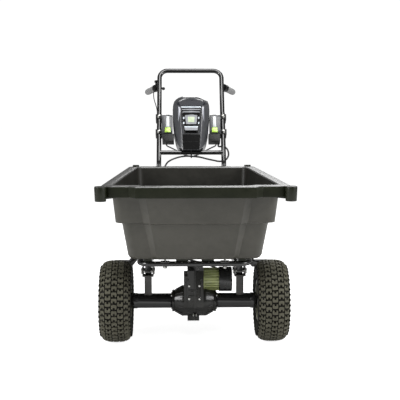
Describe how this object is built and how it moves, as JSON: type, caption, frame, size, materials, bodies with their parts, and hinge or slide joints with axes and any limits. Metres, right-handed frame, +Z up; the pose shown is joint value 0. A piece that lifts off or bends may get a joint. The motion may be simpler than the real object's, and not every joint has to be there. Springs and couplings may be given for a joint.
{
  "type": "powered dump cart",
  "caption": "Battery-powered dump cart with a tipping plastic tub, driven turf-tyre axle, swivel casters behind, and a hoop handle carrying the battery and control case.",
  "frame": {"origin": "on the ground at the middle of the footprint", "axes": "+Z up; the tub's front faces -Y and the operator stands at +Y; +X is to the right of someone facing the front of the tub"},
  "size_m": [0.73, 1.3813, 1.1003],
  "materials": {
    "tub_plastic": "satin moulded polyethylene, dark olive grey",
    "black_steel": "gloss black powder coat",
    "grey_steel": "semi-gloss charcoal powder coat",
    "zinc": "zinc-plated fasteners",
    "steel": "machined steel",
    "case_iron": "black-painted casting",
    "motor_green": "yellow-green paint",
    "motor_black": "black paint",
    "winding": "stator windings",
    "rim_paint": "grey-beige paint",
    "tyre": "turf-tread rubber",
    "caster_rubber": "solid caster tread",
    "grip_rubber": "grey grip rubber",
    "black_plastic": "black moulded plastic",
    "rubber_pad": "rest pad rubber",
    "cable": "cable jacket",
    "case_grey": "glossy dark grey",
    "case_silver": "silver-painted plastic",
    "chin_black": "glossy black",
    "pod_grey": "satin grey",
    "panel_white": "light silver strip",
    "lime": "lime green",
    "board": "circuit board",
    "battery_black": "battery housing",
    "latch_paint": "black latch paint"
  },
  "bodies": {
    "chassis": {"chassis_rails": "black_steel", "rear_beam": "black_steel", "latch_crossbar": "black_steel", "axle_posts": "grey_steel", "pivot_bolts": "zinc", "rest_pads": "rubber_pad", "caster_plates": "zinc", "axle_tubes": "black_steel", "transaxle_case_left": "case_iron", "transaxle_case_right": "case_iron", "transaxle_bolts": "zinc", "motor_housing": "motor_green", "motor_end_cap": "motor_black", "motor_stator": "winding", "shaft_bearings": "steel", "lower_handle": "black_steel", "upper_handle": "black_steel", "handle_clamps": "black_plastic", "handle_bolts": "zinc", "handle_grips": "grip_rubber", "grip_collar": "black_plastic", "power_case_back": "case_grey", "power_case_front": "case_grey", "vent_panel": "case_silver", "case_chin": "chin_black", "side_pods": "pod_grey", "pod_bases": "black_plastic", "pod_panels": "panel_white", "pod_accents": "lime", "control_board": "board", "throttle_mount": "black_plastic", "throttle_lead": "cable", "motor_harness": "cable", "case_leads": "cable", "cable_tie": "black_plastic"},
    "tub_body": {"tub": "tub_plastic", "tub_cradle": "black_steel", "tub_bolts": "zinc"},
    "left_wheel": {"tyre_left": "tyre", "rim_left": "rim_paint", "half_shaft_left": "steel", "wheel_nuts_left": "zinc"},
    "right_wheel": {"tyre_right": "tyre", "rim_right": "rim_paint", "half_shaft_right": "steel", "wheel_nuts_right": "zinc"},
    "differential": {"differential_carrier": "steel", "ring_gear": "steel", "spider_gears": "steel"},
    "idler": {"idler_gear": "steel"},
    "rotor": {"motor_rotor": "steel"},
    "left_fork": {"caster_fork_left": "zinc"},
    "right_fork": {"caster_fork_right": "zinc"},
    "left_caster": {"caster_wheel_left": "caster_rubber"},
    "right_caster": {"caster_wheel_right": "caster_rubber"},
    "battery": {"battery_pack": "battery_black"},
    "lid": {"case_lid": "case_grey"},
    "throttle": {"throttle_lever": "black_plastic"},
    "knob": {"direction_knob": "black_plastic"},
    "latch": {"latch_lever": "latch_paint"}
  },
  "joints": [
    {"name": "tub_tip", "type": "hinge", "parent": "chassis", "child": "tub_body", "pos_m": [0, -0.2755, 0.278], "axis": [1, 0, 0], "range_deg": [0, 60]},
    {"name": "left_wheel_spin", "type": "hinge", "parent": "chassis", "child": "left_wheel", "pos_m": [-0.304, -0.2755, 0.16], "axis": [1, 0, 0], "continuous": true},
    {"name": "right_wheel_spin", "type": "hinge", "parent": "chassis", "child": "right_wheel", "pos_m": [0.304, -0.2755, 0.16], "axis": [1, 0, 0], "continuous": true},
    {"name": "differential_spin", "type": "hinge", "parent": "chassis", "child": "differential", "pos_m": [0, -0.2755, 0.16], "axis": [1, 0, 0], "continuous": true},
    {"name": "idler_spin", "type": "hinge", "parent": "chassis", "child": "idler", "pos_m": [0.013, -0.2755, 0.2215], "axis": [1, 0, 0], "continuous": true},
    {"name": "rotor_spin", "type": "hinge", "parent": "chassis", "child": "rotor", "pos_m": [0.013, -0.2755, 0.2455], "axis": [1, 0, 0], "continuous": true},
    {"name": "left_caster_swivel", "type": "hinge", "parent": "chassis", "child": "left_fork", "pos_m": [-0.32, 0.2695, 0.17], "axis": [0, 0, 1], "continuous": true},
    {"name": "right_caster_swivel", "type": "hinge", "parent": "chassis", "child": "right_fork", "pos_m": [0.32, 0.2695, 0.17], "axis": [0, 0, 1], "continuous": true},
    {"name": "left_caster_spin", "type": "hinge", "parent": "left_fork", "child": "left_caster", "pos_m": [-0.32, 0.3145, 0.075], "axis": [1, 0, 0], "continuous": true},
    {"name": "right_caster_spin", "type": "hinge", "parent": "right_fork", "child": "right_caster", "pos_m": [0.32, 0.3145, 0.075], "axis": [1, 0, 0], "continuous": true},
    {"name": "battery_slide", "type": "slide", "parent": "chassis", "child": "battery", "axis": [0, 0.8829, -0.4695], "range_m": [0, 0.115]},
    {"name": "lid_hinge", "type": "hinge", "parent": "chassis", "child": "lid", "pos_m": [0, 0.53047, 0.8897], "axis": [-1, 0, 0], "range_deg": [0, 75]},
    {"name": "throttle_thumb", "type": "hinge", "parent": "chassis", "child": "throttle", "pos_m": [-0.15, 0.56564, 1.01336], "axis": [-0.4677, 0.8615, -0.1977], "range_deg": [0, 30], "stiffness_Nm_per_rad": 0.08, "springref_deg": -8.59},
    {"name": "direction_turn", "type": "hinge", "parent": "chassis", "child": "knob", "pos_m": [-0.1645, 0.59235, 1.00723], "axis": [-0.0943, 0.1737, 0.9803], "range_deg": [-30, 30]},
    {"name": "latch_swing", "type": "hinge", "parent": "chassis", "child": "latch", "pos_m": [0, 0.2065, 0.329], "axis": [1, 0, 0], "range_deg": [0, 62]}
  ],
  "couplings": [
    {"joint": "right_wheel_spin", "follows": "left_wheel_spin", "ratio": 1},
    {"joint": "differential_spin", "follows": "left_wheel_spin", "ratio": 1},
    {"joint": "idler_spin", "follows": "left_wheel_spin", "ratio": -3.5556},
    {"joint": "rotor_spin", "follows": "left_wheel_spin", "ratio": 4.5714}
  ]
}
